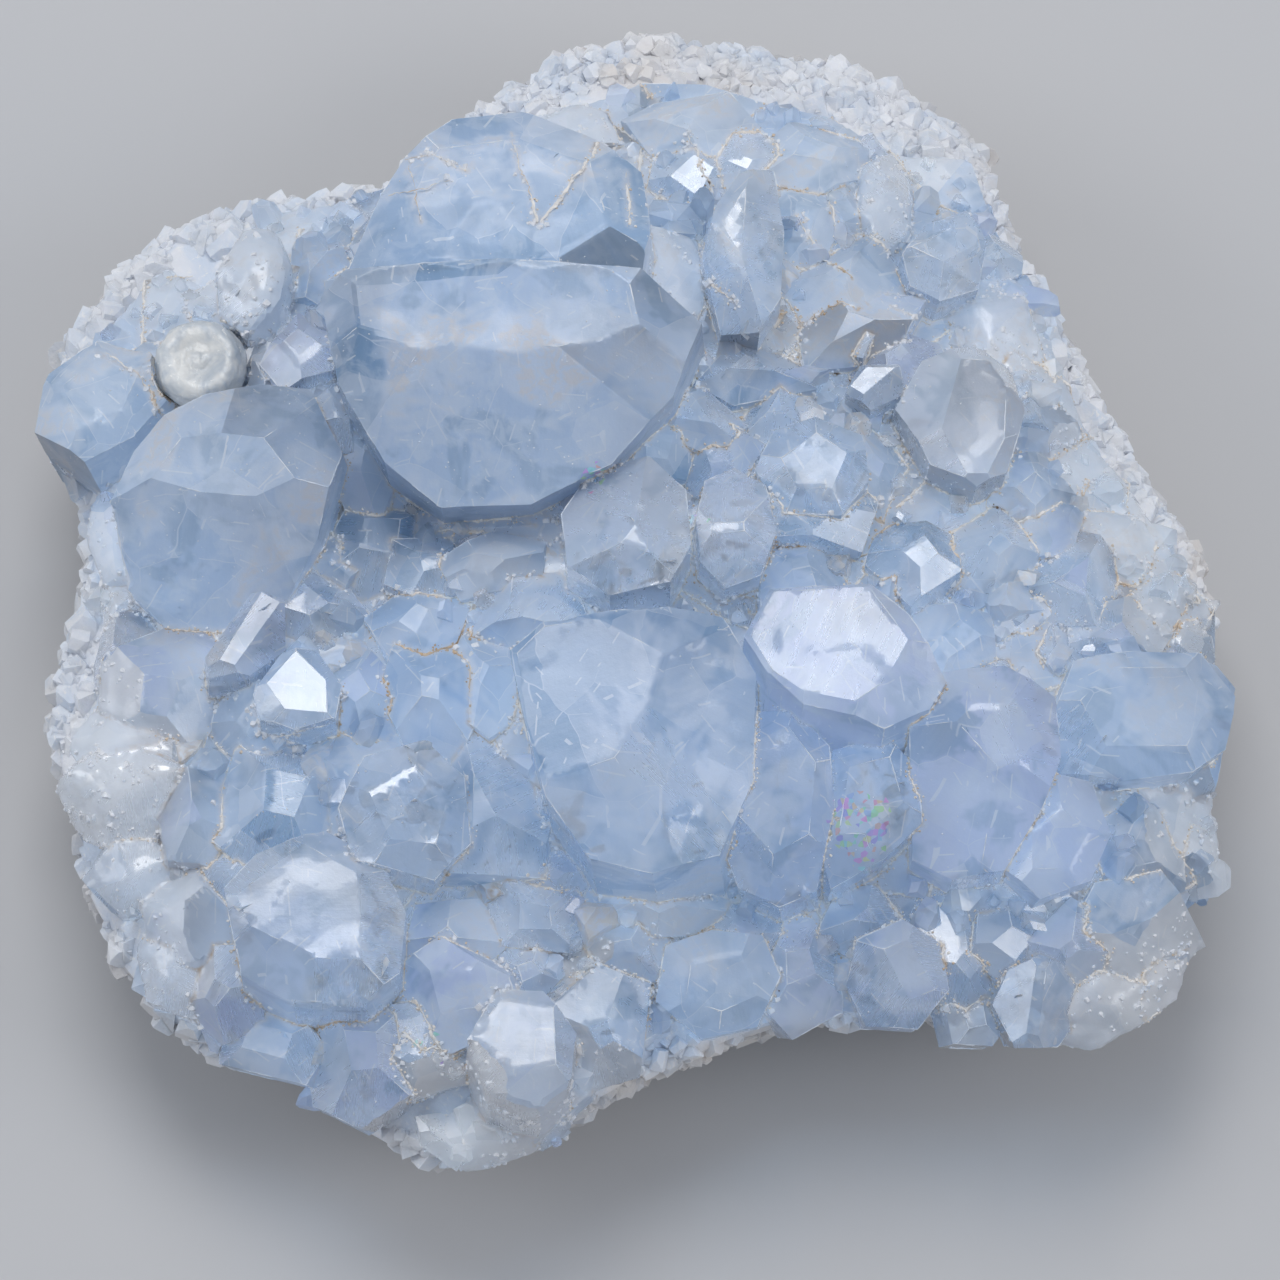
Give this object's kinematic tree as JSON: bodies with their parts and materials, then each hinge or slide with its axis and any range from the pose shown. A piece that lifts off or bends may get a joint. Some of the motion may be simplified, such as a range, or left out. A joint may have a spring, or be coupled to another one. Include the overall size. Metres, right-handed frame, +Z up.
{
  "type": "celestite crystal cluster",
  "caption": "Hand-size cluster of pale blue, tightly intergrown blocky crystals on a white granular rind, with a small cream nodule on its left lobe, lying on its back.",
  "frame": {"origin": "middle of the small flat spot under the rind that the cluster lies on", "axes": "+Z up through the cluster's thickness, away from the surface it lies on; -Y towards the viewer of the picture; +X to the viewer's right"},
  "size_m": [0.0989, 0.1004, 0.0425],
  "materials": {
    "pale_rind": "white, granular, matt",
    "blue_celestite": "clear to milky blue, bright faces",
    "cream_calcite": "waxy, slightly translucent"
  },
  "bodies": {
    "root": {"matrix_rind": "pale_rind", "celestite_crust": "blue_celestite", "calcite_nodule": "cream_calcite"}
  },
  "joints": []
}
